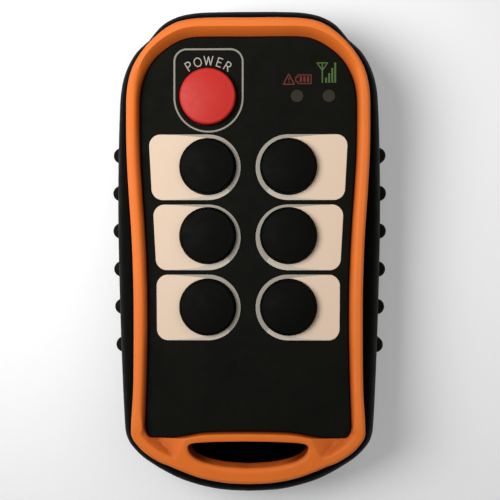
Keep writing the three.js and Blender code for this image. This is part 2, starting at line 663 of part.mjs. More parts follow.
add("battery_tray", batteryTray(), CASE_BLACK);
add("battery_door", batteryDoor(), CASE_BLACK);
const bayEnd = BAY.y / 2;
const plateThickness = 0.5;
[1, -1].forEach((side, i) => {
  // The first cell's button points to the keypad's foot, the second one's to the antenna end.
  const cell = add(`battery_cell_${i + 1}`, batteryCell(), CELL_BLUE, [side * CELL_X, BAY.middle, CELL_Z]);
  cell.rotation.z = side > 0 ? Math.PI : 0;
  cell.position.y += side > 0 ? -2.1 : 2.1;
  const spring = add(`contact_spring_${i + 1}`, contactSpring(), NICKEL, [side * CELL_X, 0, CELL_Z]);
  spring.rotation.z = side > 0 ? Math.PI : 0;
  spring.position.y = BAY.middle + side * (bayEnd - FIT - plateThickness - FIT / 2);
});
add(
  "contact_bridge",
  new THREE.BoxGeometry(28, plateThickness, 12),
  NICKEL,
  [0, BAY.middle + bayEnd - FIT - plateThickness / 2, CELL_Z],
);
["positive_terminal", "negative_terminal"].forEach((name, i) => {
  const tab = carve([
    new THREE.BoxGeometry(11, plateThickness, 12).translate(0, 0, CELL_Z),
    new THREE.BoxGeometry(2, plateThickness, 6).translate(0, 0, BOARD_UNDER - FIT - 3),
  ]);
  add(name, tab, NICKEL, [i ? -CELL_X : CELL_X, BAY.middle - bayEnd + FIT + plateThickness / 2, 0]);
});

export default transmitter;
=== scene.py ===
"""Handheld radio control station: the finished look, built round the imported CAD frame.

Sizes are in millimetres, in the CAD's frame: the handset lies on its back, +Z comes out of the keypad and
+Y points to the antenna end. Meshes are scaled to metres when they are made.
"""
import math

import bmesh
import bpy
import numpy as np
from mathutils import Matrix, Vector
from mathutils.geometry import delaunay_2d_cdt


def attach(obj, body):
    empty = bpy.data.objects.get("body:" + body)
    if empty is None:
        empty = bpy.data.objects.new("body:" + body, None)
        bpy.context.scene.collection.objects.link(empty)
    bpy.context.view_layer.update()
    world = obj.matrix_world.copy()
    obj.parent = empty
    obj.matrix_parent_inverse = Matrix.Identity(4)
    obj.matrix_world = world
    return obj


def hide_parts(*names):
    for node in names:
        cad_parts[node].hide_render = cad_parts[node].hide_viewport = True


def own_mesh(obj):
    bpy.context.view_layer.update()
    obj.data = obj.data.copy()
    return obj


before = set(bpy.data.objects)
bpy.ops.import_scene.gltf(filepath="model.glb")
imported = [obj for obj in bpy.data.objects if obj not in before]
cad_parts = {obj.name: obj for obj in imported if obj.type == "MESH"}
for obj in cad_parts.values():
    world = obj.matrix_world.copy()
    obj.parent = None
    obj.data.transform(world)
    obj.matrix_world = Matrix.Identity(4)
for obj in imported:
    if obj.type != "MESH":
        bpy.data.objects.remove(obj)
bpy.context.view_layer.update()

MM = 0.001
FIT = 0.3  # gap between neighbouring pieces

# ---------- Levels above the resting plane ----------
REAR_TOP = 19.7
SPLIT = 20
SHOULDER = 27
DECK_UNDER = 26.8
DECK_TOP = 29.2
OVERLAY_UNDER = 29.5
OVERLAY_TOP = 30
BUMPER_TOP = 33.6
BOARD_TOP = 20.4
BOARD_UNDER = 18.8
PRINT = 0.03  # thickness of the printed marks

# ---------- Plan dimensions ----------
WALL = 2.6
KEY_X = 11.8
KEY_ROWS = [24.7, 4.5, -16.4]
PANEL_ROWS = [24.5, 4, -16.5]  # a legend panel's middle, just below its key's
POWER_Y = 45.1
KEY_RADIUS = 8
POWER_RADIUS = 8.2
KEY_PLAY = 0.35  # between a cap and its hole
KEY_FLANGE = 9.25
DOME_TOP = 24.6
PILL_END = 23.6  # lower end of the pill inside a dome, just above the switch
PANEL_RADIUS = 9.6
PANEL_MARGIN = 2.7
LAMPS = [14.3, 23.6]
LAMP_Y = 45.3
LAMP_RADIUS = 1.9
RIB_PITCH = 11.45
RIB_COUNT = 6
RIB_RADIUS = 2.38
RIB_SINK = 0.2
RIB_END = 1.4  # length of a rib's rounded end
GRIP_LENGTH = 74
GRIP_DEPTH = 1.4
GRIP_Z = (4.6, 17.4)
BAY_X, BAY_Y, BAY_MIDDLE, TRAY_WALL = 31, 58, -8, 1.2
DOOR_X, DOOR_Y, DOOR_UNDER, DOOR_TOP = 40, 66, 0.5, 2.2
DOOR_TRAVEL = 6
DOOR_RECESS = 2.5
SCREWS = [(26, 52), (-26, 52), (26, -46), (-26, -46)]
SCREW_SEAT = 3.4

# Each half outline runs from the top centre down the right side to the bottom centre.
CASE_HALF = [
    [(0, 71.4), (9, 71.35), (16, 71.05), (21.5, 69.85), (26, 67.3), (29.7, 62.9)],
    [(29.7, 62.9), (33.6, 59.3), (36.5, 54.3), (38.2, 48), (38.8, 38), (39.15, 22), (39.15, 6), (38.7, -14),
     (38.1, -32), (37.3, -49), (36.5, -55.4), (33.6, -59.7), (29.1, -63.3), (20.5, -68), (10, -70.9),
     (0, -71.595)],
]
BUMPER_HALF = [
    [(0, 67.8), (10, 67.8), (17.5, 67.3), (22.5, 65.7), (27.4, 62), (31.3, 57.5), (33.9, 52.7), (35.2, 47),
     (35.45, 40), (35.3, 28), (34.65, 16), (33.85, 4), (33.35, -10), (33.25, -24), (33.4, -40), (34, -50.5),
     (33.75, -54.4), (31.25, -57.9), (28.45, -60.2), (25.6, -61.9), (22.8, -63), (19.9, -64.3), (14, -66.5),
     (7, -67.9), (0, -68.3)],
]
KEYPAD_HALF = [
    [(0, 62.7), (9, 62.75), (16, 62.6), (20.2, 61.5), (24.6, 58.8), (28.1, 55.2), (30.5, 50.5), (31.6, 45.5),
     (31.75, 38), (31.6, 28), (31, 18), (30.2, 6), (29.55, -8), (29.4, -22), (29.65, -36), (30.05, -48),
     (30.1, -51.7), (29, -54.1), (26.5, -54.7), (22, -54.6), (18, -54), (13.5, -53.2), (8, -52.9),
     (0, -52.8)],
]
SLOT_HALF = [
    [(0, -55.3), (8, -55.4), (14, -55.7), (16.8, -56.2), (17.5, -57.5), (16, -59.9), (12.4, -61.7),
     (7, -62.9), (0, -63.4)],
]
REAR_SLOT_HALF = [[(0, -54.6), (8, -54.7), (14, -55.1), (15.8, -56.8), (13.6, -59), (8, -60), (0, -60.2)]]

# ---------- Outlines ----------
BEND_WEIGHT = 16  # millimetres of straight outline that count the same as one radian of bend


def smooth_curve(points, steps):
    """A Catmull-Rom curve through the points, as a list of (x, y)."""
    made = []
    ends = [points[0], *points, points[-1]]
    for i in range(len(points) - 1):
        p0, p1, p2, p3 = (np.array(p, float) for p in ends[i:i + 4])
        for t in np.linspace(0, 1, steps, endpoint=False):
            v0, v1, gap = (p2 - p0) / 2, (p3 - p1) / 2, p2 - p1
            made.append((v0 + v1 - 2 * gap) * t**3 + (3 * gap - 2 * v0 - v1) * t**2 + v0 * t + p1)
    return [*made, np.array(points[-1], float)]


def turned_inwards(points):
    """For each point of a closed clockwise loop, the unit direction into the loop."""
    along = np.roll(points, -1, 0) - np.roll(points, 1, 0)
    along /= np.linalg.norm(along, axis=1)[:, None]
    return np.stack([along[:, 1], -along[:, 0]], 1)


class Outline:
    """A closed outline, as a fine polygon that runs clockwise from the top centre."""

    def __init__(self, points):
        self.points = np.asarray(points, float)

    @classmethod
    def from_half(cls, splines, steps=20):
        half = []
        for spline in splines:
            half += smooth_curve(spline, steps)[1 if half else 0:]
        return cls(half + [p * (-1, 1) for p in reversed(half[1:-1])])

    def nearest(self, points):
        """The distance from each point to the outline, and the nearest place on it."""
        start = self.points
        span = np.roll(start, -1, 0) - start
        gap = points[:, None] - start
        share = np.clip((gap * span).sum(2) / (span * span).sum(1), 0, 1)
        distance = np.linalg.norm(gap - share[..., None] * span, axis=2)
        best = distance.argmin(1)
        rows = np.arange(len(points))
        return distance[rows, best], start[best] + share[rows, best, None] * span[best]

    def contains(self, points):
        start = self.points
        end = np.roll(start, -1, 0)
        x, y = points[:, :1], points[:, 1:]
        straddles = (start[:, 1] > y) != (end[:, 1] > y)
        with np.errstate(divide="ignore", invalid="ignore"):
            crossing = start[:, 0] + (y - start[:, 1]) * (end - start)[:, 0] / (end - start)[:, 1]
        return (straddles & (x < crossing)).sum(1) % 2 == 1

    def inset(self, amount):
        """The outline moved inwards by a distance, outwards by a negative one, or by an array of them."""
        by = np.broadcast_to(amount, len(self.points))
        moved = self.points + turned_inwards(self.points) * by[:, None]
        return Outline(moved[self.nearest(moved)[0] > np.abs(by) - 0.02])

    def at(self, headings, centre=(0, 0)):
        """Where rays from the centre, at headings from +Y towards +X, leave the outline."""
        rays = np.stack([np.sin(headings), np.cos(headings)], 1)
        start = self.points - centre
        end = np.roll(start, -1, 0)
        side_a = rays[:, :1] * start[:, 1] - rays[:, 1:] * start[:, 0]
        side_b = rays[:, :1] * end[:, 1] - rays[:, 1:] * end[:, 0]
        with np.errstate(divide="ignore", invalid="ignore"):
            share = (side_a / (side_a - side_b))[..., None]
        reach = ((start + share * (end - start)) * rays[:, None]).sum(2)
        reach[(side_a * side_b > 0) | (side_a == side_b)] = 0
        return rays * reach.max(1)[:, None] + centre

    def spaced(self, count):
        """Points round the outline, closer together where it bends."""
        span = np.roll(self.points, -1, 0) - self.points
        ahead = np.roll(span, -1, 0)
        bend = np.arctan2(span[:, 0] * ahead[:, 1] - span[:, 1] * ahead[:, 0], (span * ahead).sum(1))
        weight = np.linalg.norm(span, axis=1) + BEND_WEIGHT * np.abs(bend)
        total = np.concatenate([[0], np.cumsum(weight)])
        target = np.arange(count) * total[-1] / count
        index = np.searchsorted(total, target, side="right") - 1
        share = (target - total[index]) / weight[index]
        return self.points[index] + share[:, None] * span[index]


case_outline = Outline.from_half(CASE_HALF)
bumper_outline = Outline.from_half(BUMPER_HALF)
keypad_outline = Outline.from_half(KEYPAD_HALF)
slot_outline = Outline.from_half(SLOT_HALF)
rear_slot_outline = Outline.from_half(REAR_SLOT_HALF)
case_headings = np.arctan2(*case_outline.spaced(260).T)


def case_ring(outline):
    return outline.at(case_headings)


def arc(x, y, radius, start, end, steps=8):
    """Points on an arc, with angles in degrees from the first axis."""
    turns = np.radians(np.linspace(start, end, steps + 1))
    return [(x + radius * math.cos(t), y + radius * math.sin(t)) for t in turns]


def circle(x, y, radius, sides=64):
    """A clockwise circle."""
    return np.array(arc(x, y, radius, 0, -360, sides)[:-1])


def rounded_box(width, height, radius, x=0, y=0, corner_steps=8):
    """A clockwise rectangle with round corners."""
    right, up = width / 2 - radius, height / 2 - radius
    points = []
    for quarter, (sx, sy) in enumerate([(1, 1), (1, -1), (-1, -1), (-1, 1)]):
        start = 90 - 90 * quarter
        points += arc(x + sx * right, y + sy * up, radius, start, start - 90, corner_steps)
    return np.array(points)


# ---------- Meshes ----------


def put(name, data):
    """A new object in the scene."""
    obj = bpy.data.objects.new(name, data)
    bpy.context.scene.collection.objects.link(obj)
    return obj


def make(name, points, faces, weld=0.0):
    """A mesh object from points in millimetres."""
    mesh = bpy.data.meshes.new(name)
    places = [tuple(float(v) * MM for v in p) for p in points]
    mesh.from_pydata(places, [], [tuple(map(int, f)) for f in faces])
    bm = bmesh.new()
    bm.from_mesh(mesh)
    if weld:
        bmesh.ops.remove_doubles(bm, verts=bm.verts, dist=weld * MM)
    bmesh.ops.delete(bm, geom=[v for v in bm.verts if not v.link_faces], context="VERTS")
    bmesh.ops.recalc_face_normals(bm, faces=bm.faces)
    bm.to_mesh(mesh)
    bm.free()
    return put(name, mesh)


def loft(name, rings):
    """A closed body through rings of equal length, each (height, points running clockwise)."""
    count = len(rings[0][1])
    points = [(x, y, z) for z, ring in rings for x, y in ring]
    faces = []
    for r in range(len(rings) - 1):
        for i in range(count):
            a, b = r * count + i, r * count + (i + 1) % count
            faces.append((a, b, b + count, a + count))
    faces.append(range(count))
    faces.append(range((len(rings) - 1) * count, len(rings) * count))
    return make(name, points, faces)


def prism(name, points, low, high):
    return loft(name, [(low, points), (high, points)])


def quarter_rings(height, inset, steps):
    """(height, inset) pairs of a rounded edge at the foot of a body."""
    turns = [math.pi / 2 * k / steps for k in range(steps + 1)]
    return [(height * (1 - math.cos(turn)), inset * (1 - math.sin(turn))) for turn in turns]


def rounded_prism(name, points, low, high, radius, steps=4):
    """A prism whose top and bottom edges are rounded."""
    rings = [(low + z, inset) for z, inset in quarter_rings(radius, radius, steps)]
    sides = rings + [(low + high - z, inset) for z, inset in reversed(rings)]
    inwards = turned_inwards(points)
    return loft(name, [(z, points + inwards * inset) for z, inset in sides])


def lathe(name, profile, x=0, y=0, sides=96):
    """A body turned about Z from a profile of (radius, height) that starts and ends on the axis."""
    points, faces, rings = [], [], []
    for radius, z in profile:
        first = len(points)
        if radius < 1e-6:
            points.append((x, y, z))
            rings.append([first] * sides)
        else:
            points += [(px, py, z) for px, py in circle(x, y, radius, sides)]
            rings.append(list(range(first, first + sides)))
    for lower, upper in zip(rings, rings[1:]):
        for i in range(sides):
            j = (i + 1) % sides
            face = list(dict.fromkeys([lower[i], lower[j], upper[j], upper[i]]))
            if len(face) > 2:
                faces.append(face)
    return make(name, points, faces)


def triangulate(loops, extra=()):
    """Triangles of the plane through closed loops and loose points: (points, triangles)."""
    points, edges = [], []
    for loop in loops:
        first = len(points)
        points += [Vector(map(float, p)) for p in loop]
        edges += [(first + i, first + (i + 1) % len(loop)) for i in range(len(loop))]
    points += [Vector(map(float, p)) for p in extra]
    made, _, faces, *_ = delaunay_2d_cdt(points, edges, [], 0, 1e-5)
    return np.array([tuple(p) for p in made]), np.array([tuple(f) for f in faces])


def strip(upper, lower):
    """The points and faces of a wall between two closed loops of 3-D points."""
    count = len(upper)
    faces = [(i, (i + 1) % count, count + (i + 1) % count, count + i) for i in range(count)]
    return [*upper, *lower], faces


def join(patches):
    """Joins patches of (points, faces) into one."""
    points, faces = [], []
    for more_points, more_faces in patches:
        first = len(points)
        points += [tuple(p) for p in more_points]
        faces += [[first + i for i in face] for face in more_faces]
    return points, faces


def at_height(points, z):
    return [(x, y, h) for (x, y), h in zip(points, np.broadcast_to(z, len(points)))]


def within(points, outer, holes):
    """Which of the points are inside one loop and outside the others."""
    inside = Outline(outer).contains(points)
    for hole in holes:
        inside &= ~Outline(hole).contains(points)
    return inside


def plate(name, outer, holes, low, high, edge=0.08):
    """A flat plate with holes and eased edges. All loops run clockwise."""
    loops = [(outer, 1)] + [(hole, -1) for hole in holes]
    eased = [loop + turned_inwards(loop) * edge * sign for loop, sign in loops]
    points, triangles = triangulate(eased)
    kept = triangles[within(points[triangles].mean(1), eased[0], eased[1:])]
    patches = [(at_height(points, z), kept) for z in (low, high)]
    for (loop, _), top in zip(loops, eased):
        patches.append(strip(at_height(top, high), at_height(loop, high - edge)))
        patches.append(strip(at_height(loop, high - edge), at_height(loop, low + edge)))
        patches.append(strip(at_height(loop, low + edge), at_height(top, low)))
    return make(name, *join(patches), weld=0.001)


def combine(obj, others, operation):
    """Applies one exact boolean for each of the other objects, and removes them."""
    for other in others:
        modifier = obj.modifiers.new("boolean", "BOOLEAN")
        modifier.operation = operation
        modifier.solver = "EXACT"
        modifier.object = other
    graph = bpy.context.evaluated_depsgraph_get()
    mesh = bpy.data.meshes.new_from_object(obj.evaluated_get(graph))
    obj.modifiers.clear()
    obj.data = mesh
    for other in others:
        bpy.data.objects.remove(other)
    return obj


def cut(obj, others):
    return combine(obj, others, "DIFFERENCE")


def fuse(obj, others):
    return combine(obj, others, "UNION")


def block(name, width, depth, low, high, x=0, y=0, radius=0.3):
    return prism(name, rounded_box(width, depth, radius, x, y, 4), low, high)


def disc(name, radius, low, high, x=0, y=0, sides=64):
    return prism(name, circle(x, y, radius, sides), low, high)


def settle(obj, material, body, nodes, sharp=38):
    """Gives a piece its material, smooth shading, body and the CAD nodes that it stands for."""
    obj.data.materials.clear()
    obj.data.materials.append(material)
    obj.data.shade_smooth()
    obj.data.set_sharp_from_angle(angle=math.radians(sharp))
    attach(obj, body)
    if nodes:
        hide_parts(*nodes)
    return obj


# ---------- Materials ----------


class Nodes:
    """Short calls for building one material's node tree."""

    def __init__(self, name):
        self.material = bpy.data.materials.new(name)
        self.material.use_nodes = True
        self.tree = self.material.node_tree
        self.shader = self.tree.nodes["Principled BSDF"]
        self.place = self.add("ShaderNodeTexCoord").outputs["Object"]

    def add(self, kind, **settings):
        node = self.tree.nodes.new(kind)
        for key, value in settings.items():
            setattr(node, key, value)
        return node

    def link(self, output, socket):
        self.tree.links.new(output, socket)

    def noise(self, scale, detail=3, rough=0.55, stretch=(1, 1, 1)):
        mapping = self.add("ShaderNodeMapping")
        mapping.inputs["Scale"].default_value = stretch
        self.link(self.place, mapping.inputs["Vector"])
        node = self.add("ShaderNodeTexNoise")
        self.link(mapping.outputs["Vector"], node.inputs["Vector"])
        node.inputs["Scale"].default_value = scale
        node.inputs["Detail"].default_value = detail
        node.inputs["Roughness"].default_value = rough
        return node.outputs["Fac"]

    def cells(self, scale):
        node = self.add("ShaderNodeTexVoronoi", feature="SMOOTH_F1")
        self.link(self.place, node.inputs["Vector"])
        node.inputs["Scale"].default_value = scale
        return node.outputs["Distance"]

    def occlusion(self, reach):
        """How open the surface is to its surroundings within this many millimetres, 0 to 1."""
        node = self.add("ShaderNodeAmbientOcclusion", samples=8)
        node.inputs["Distance"].default_value = reach * MM
        return node.outputs["AO"]

    def span(self, value, low, high, to_low, to_high):
        node = self.add("ShaderNodeMapRange")
        self.link(value, node.inputs["Value"])
        for socket, number in zip(("From Min", "From Max", "To Min", "To Max"), (low, high, to_low, to_high)):
            node.inputs[socket].default_value = number
        return node.outputs["Result"]

    def math(self, operation, a, b):
        node = self.add("ShaderNodeMath", operation=operation)
        for socket, value in zip(node.inputs, (a, b)):
            if isinstance(value, (int, float)):
                socket.default_value = value
            else:
                self.link(value, socket)
        return node.outputs["Value"]

    def mix(self, factor, a, b):
        node = self.add("ShaderNodeMix", data_type="RGBA")
        self.link(factor, node.inputs["Factor"])
        for socket, value in ((node.inputs[6], a), (node.inputs[7], b)):
            if isinstance(value, tuple):
                socket.default_value = (*value, 1)
            else:
                self.link(value, socket)
        return node.outputs[2]

    def bump(self, height, strength, distance):
        node = self.add("ShaderNodeBump")
        node.inputs["Strength"].default_value = strength
        node.inputs["Distance"].default_value = distance * MM
        self.link(height, node.inputs["Height"])
        previous = self.shader.inputs["Normal"]
        if previous.is_linked:
            self.link(previous.links[0].from_socket, node.inputs["Normal"])
        self.link(node.outputs["Normal"], previous)

    def paint(self, output):
        self.link(output, self.shader.inputs["Base Color"])

    def two_tone(self, value, dark, pale):
        """A colour between two, from a noise."""
        return self.mix(self.span(value, 0.3, 0.7, 0, 1), dark, pale)

    def dull(self, value, low, high):
        """Roughness between two values, from a noise."""
        self.link(self.span(value, 0.3, 0.7, low, high), self.shader.inputs["Roughness"])

    def set(self, **values):
        for name, value in values.items():
            self.shader.inputs[name.replace("_", " ")].default_value = value


def tinted(color, factor):
    return tuple(min(1.0, c * factor) for c in color)


def moulded(name, color, roughness, grain=1500, depth=0.03, mottle=0.12, wear=0.0, worn=None, specular=0.5,
            painted_crease_shade=None, painted_shade_reach=7):
    """Moulded plastic or rubber: grain, uneven tone and gloss, rubbed edges, and painted shade that darkens
    its creases.
    """
    n = Nodes(name)
    fine = n.noise(grain, 4, 0.6)
    broad = n.noise(70, 3, 0.5)
    tone = n.math("ADD", n.math("MULTIPLY", fine, 0.5), n.math("MULTIPLY", broad, 0.5))
    shade = n.two_tone(tone, tinted(color, 1 - mottle), tinted(color, 1 + mottle))
    if wear:
        edge = n.span(n.add("ShaderNodeNewGeometry").outputs["Pointiness"], 0.51, 0.6, 0, wear)
        shade = n.mix(n.math("MULTIPLY", edge, n.span(n.noise(420), 0.35, 0.65, 0.2, 1)), shade, worn)
    n.set(Specular_IOR_Level=specular)
    # Painted shade: where ambient occlusion finds a crease or recess, the colour fades to the dark crease
    # colour and the reflection fades out.
    if painted_crease_shade:
        openness = n.occlusion(painted_shade_reach)
        shade = n.mix(n.span(openness, 0.5, 1, 0, 1), painted_crease_shade, shade)
        n.link(n.span(openness, 0.5, 1, 0, specular), n.shader.inputs["Specular IOR Level"])
    n.paint(shade)
    n.dull(n.noise(240, 3), roughness - 0.07, roughness + 0.07)
    n.bump(fine, 0.5, depth)
    n.bump(n.cells(grain * 0.6), 0.25, depth)
    return n.material


def ink(name, color, roughness=0.55, mottle=0.08):
    """Screen-printed ink: a slightly uneven film."""
    n = Nodes(name)
    fine = n.noise(2600, 3, 0.7)
    n.paint(n.mix(n.span(fine, 0.35, 0.65, 0, 1), tinted(color, 1 - mottle), tinted(color, 1 + mottle)))
    n.dull(n.noise(300), roughness - 0.06, roughness + 0.06)
    n.bump(fine, 0.15, 0.01)
    n.set(Specular_IOR_Level=0.2)
    return n.material


def plated(name, color, roughness, stretch=(1, 14, 1)):
    """Plated or drawn metal: fine drawing lines and a few dull patches."""
    n = Nodes(name)
    lines = n.noise(900, 5, 0.6, stretch)
    n.paint(n.two_tone(n.noise(160), tinted(color, 0.82), tinted(color, 1.08)))
    n.dull(lines, roughness - 0.08, roughness + 0.12)
    n.bump(lines, 0.2, 0.01)
    n.set(Metallic=1)
    return n.material


def circuit_laminate(name):
    """Solder mask over copper tracks on glass laminate."""
    n = Nodes(name)
    tracks = n.add("ShaderNodeTexBrick")
    n.link(n.place, tracks.inputs["Vector"])
    tracks.inputs["Scale"].default_value = 160
    tracks.inputs["Mortar Size"].default_value = 0.035
    for socket, color in (("Color1", (0.010, 0.085, 0.036)), ("Color2", (0.013, 0.11, 0.048)),
                          ("Mortar", (0.03, 0.20, 0.08))):
        tracks.inputs[socket].default_value = (*color, 1)
    n.paint(tracks.outputs["Color"])
    n.dull(n.noise(500), 0.28, 0.42)
    n.bump(tracks.outputs["Fac"], 0.4, 0.02)
    return n.material


def cell_wrap(name):
    """Shrink sleeve of a battery cell: plain blue, with a pale band near one end."""
    n = Nodes(name)
    split = n.add("ShaderNodeSeparateXYZ")
    n.link(n.place, split.inputs[0])
    along = n.math("ABSOLUTE", n.math("ADD", split.outputs["Y"], -BAY_MIDDLE * MM), 0)
    band = n.span(along, 0.0165, 0.0168, 0, 1)
    cloudy = n.two_tone(n.noise(300), (0.02, 0.08, 0.21), (0.03, 0.12, 0.29))
    n.paint(n.mix(band, cloudy, (0.55, 0.56, 0.55)))
    n.dull(n.noise(500), 0.2, 0.34)
    n.bump(n.noise(200, 2), 0.15, 0.05)
    return n.material


CREAM = (0.79, 0.61, 0.46)
ORANGE = (0.86, 0.190, 0.025)
RED = (0.555, 0.022, 0.014)

# The case plastic's dark crease colour is painted shade, deepest down the strap slot.
case_plastic = moulded("case_plastic", (0.0034, 0.0035, 0.0026), 0.58, wear=0.3, worn=(0.014, 0.014, 0.012),
                       specular=0.05, painted_crease_shade=(0.0006, 0.0006, 0.0005), painted_shade_reach=9)
grip_rubber = moulded("grip_rubber", (0.0034, 0.0034, 0.0027), 0.62, grain=1900, depth=0.04, specular=0.1)
overlay_film = moulded("overlay_film", (0.0046, 0.0049, 0.0033), 0.68, grain=1700, depth=0.02, mottle=0.3,
                       specular=0.06)
key_rubber = moulded("key_rubber", (0.0022, 0.0023, 0.0018), 0.62, grain=2200, depth=0.015, mottle=0.2,
                     specular=0.06)
# The bumper's red-brown crease colour is painted shade on its inner walls, its corner hollows and the slot's
# lip.
bumper_rubber = moulded("bumper_rubber", ORANGE, 0.5, grain=2000, depth=0.02, mottle=0.05,
                        wear=0.2, worn=(0.88, 0.28, 0.07), specular=0.2, painted_crease_shade=(0.20, 0.024, 0.007))
power_plastic = moulded("power_plastic", RED, 0.5, grain=2200, depth=0.012, mottle=0.05,
                        wear=0.12, worn=(0.7, 0.07, 0.045), specular=0.25)
legend_cream = ink("legend_cream", CREAM, mottle=0.03)
print_grey = ink("print_grey", (0.44, 0.40, 0.33))
border_grey = ink("border_grey", (0.38, 0.345, 0.285))
border_pale = ink("border_pale", (0.57, 0.505, 0.42))
print_dim = ink("print_dim", (0.30, 0.28, 0.23))
print_red = ink("print_red", (0.14, 0.023, 0.017))
print_green = ink("print_green", (0.065, 0.13, 0.03))
lamp_smoke = moulded("lamp_smoke", (0.027, 0.021, 0.013), 0.5, grain=900, depth=0.005, mottle=0.25,
                     specular=0.15)
silicone = moulded("dome_silicone", (0.32, 0.34, 0.34), 0.6, grain=1400, depth=0.01)
chip_plastic = moulded("component_plastic", (0.014, 0.015, 0.016), 0.45, grain=2400, depth=0.01)
laminate = circuit_laminate("board_laminate")
nickel = plated("nickel", (0.62, 0.60, 0.55), 0.28)
tinned = plated("tinned_can", (0.60, 0.60, 0.57), 0.34, (1, 20, 1))
zinc = plated("zinc_screw", (0.42, 0.42, 0.41), 0.36, (12, 1, 1))
cell_sleeve = cell_wrap("cell_sleeve")
led_red = moulded("led_red", (0.5, 0.04, 0.03), 0.25, grain=900, depth=0.003)
led_green = moulded("led_green", (0.06, 0.32, 0.05), 0.25, grain=900, depth=0.003)

# ---------- Case ----------


def side_strip(name, outer, inner, length, low, high):
    """The strip of case side, on the right, between two insets from the case outline."""
    ys = np.linspace(length / 2, -length / 2, 40)
    headings = np.arctan2(40, ys)
    outer_edge = case_outline.inset(outer).at(headings)
    inner_edge = case_outline.inset(inner).at(headings)[::-1]
    return prism(name, np.concatenate([outer_edge, inner_edge]), low, high)


def mirror_x(obj, name):
    """A mirrored copy."""
    mesh = obj.data.copy()
    mesh.transform(Matrix.Scale(-1, 4, (1, 0, 0)))
    mesh.flip_normals()
    return put(name, mesh)


def make_rear_housing():
    edge = quarter_rings(6, 5, 9)
    rim = [(REAR_TOP - 0.25, 0), (REAR_TOP, 0.22)]
    body = loft("rear_shell", [(z, case_ring(case_outline.inset(i))) for z, i in edge + rim])
    hollow = [(WALL, 5.6), (4, 3.6), (6.5, WALL), (REAR_TOP + 2, WALL)]
    body = cut(body, [loft("hollow", [(z, case_ring(case_outline.inset(i))) for z, i in hollow])])
    pad_top = DOOR_RECESS + 2.1
    pad_y = BAY_MIDDLE - DOOR_TRAVEL / 2
    added = [
        block("pad", DOOR_X + 6, DOOR_Y + DOOR_TRAVEL + 8, WALL - 1, pad_top, 0, pad_y, 1),
        prism("tunnel", rear_slot_outline.inset(-1.7).spaced(90), WALL - 1, REAR_TOP),
    ]
    for x, y in SCREWS:
        added.append(disc("boss", 4.7, WALL - 1, SCREW_SEAT + 1.8, x, y))
        added.append(disc("post", 3.3, SCREW_SEAT + 1, BOARD_UNDER - FIT, x, y))
    body = fuse(body, added)
    recess_end = BAY_MIDDLE + DOOR_Y / 2
    clear = TRAY_WALL + FIT
    removed = [
        prism("rebate", case_ring(case_outline.inset(1)), REAR_TOP - 1.1, REAR_TOP + 2),
        prism("slot", rear_slot_outline.spaced(90), -2, REAR_TOP + 2),
        block("recess", DOOR_X + 2 * FIT, DOOR_Y + 2 * FIT + DOOR_TRAVEL, -2, DOOR_RECESS, 0, pad_y, 1.3),
        block("bay", BAY_X + 2 * clear, BAY_Y + 2 * clear, 1, pad_top + 2, 0, BAY_MIDDLE),
    ]
    removed += [block("tongue_slot", 7, 4, 1, DOOR_RECESS, s * 11, recess_end + 1.9) for s in (-1, 1)]
    low, high = GRIP_Z
    pocket = side_strip("pocket", -1, GRIP_DEPTH + FIT, GRIP_LENGTH + 2 * FIT, low - FIT, high + FIT)
    removed += [pocket, mirror_x(pocket, "pocket_left")]
    seat = [(0, -1), (4.15, -1), (3.15, 0.45), (3.15, SCREW_SEAT), (0, SCREW_SEAT)]
    for x, y in SCREWS:
        removed.append(lathe("seat", seat, x, y))
        removed.append(disc("bore", 1.85, SCREW_SEAT - 1, BOARD_UNDER, x, y, 32))
    return settle(cut(body, removed), case_plastic, "case", ["rear_housing"])


def make_front_housing():
    side = case_ring(case_outline)
    crown = case_ring(bumper_outline)
    foot = SPLIT + 0.25
    rings = [(SPLIT, case_ring(case_outline.inset(0.22))), (foot, side)]
    for k in range(1, 13):
        turn = math.pi / 2 * k / 12
        share = 0.93 * (1 - math.cos(turn)) ** 1.15
        rings.append((foot + (SHOULDER - foot) * math.sin(turn), side + (crown - side) * share))
    body = loft("front_shell", rings)
    deck = prism("deck", keypad_outline.inset(0.35).spaced(200), SHOULDER - 1, DECK_TOP)
    body = fuse(body, [deck])
    roof_under = SHOULDER - WALL
    body = cut(body, [
        prism("hollow", case_ring(case_outline.inset(WALL + 0.2)), SPLIT - 2, roof_under),
        prism("deck_hollow", keypad_outline.inset(1.6).spaced(200), roof_under - 1, DECK_UNDER),
    ])
    added = [prism("slot_wall", slot_outline.inset(-3).spaced(90), SPLIT, SHOULDER - 0.5)]
    added += [disc("post", 3.2, BOARD_TOP + FIT, DECK_UNDER - 1, x, y) for x, y in SCREWS]
    body = fuse(body, added)
    removed = [prism("slot", slot_outline.inset(-1.5).spaced(90), SPLIT - 2, DECK_TOP + 2)]
    round_holes = [(key_radius(y) + KEY_PLAY, x, y) for x, y in key_places()]
    round_holes += [(LAMP_RADIUS + FIT, x, LAMP_Y) for x in LAMPS]
    removed += [disc("hole", radius, DECK_UNDER - 1, DECK_TOP + 2, x, y) for radius, x, y in round_holes]
    removed += [disc("pilot", 1.85, BOARD_TOP, DECK_UNDER - 1.4, x, y, 32) for x, y in SCREWS]
    return settle(cut(body, removed), case_plastic, "case", ["front_housing"])


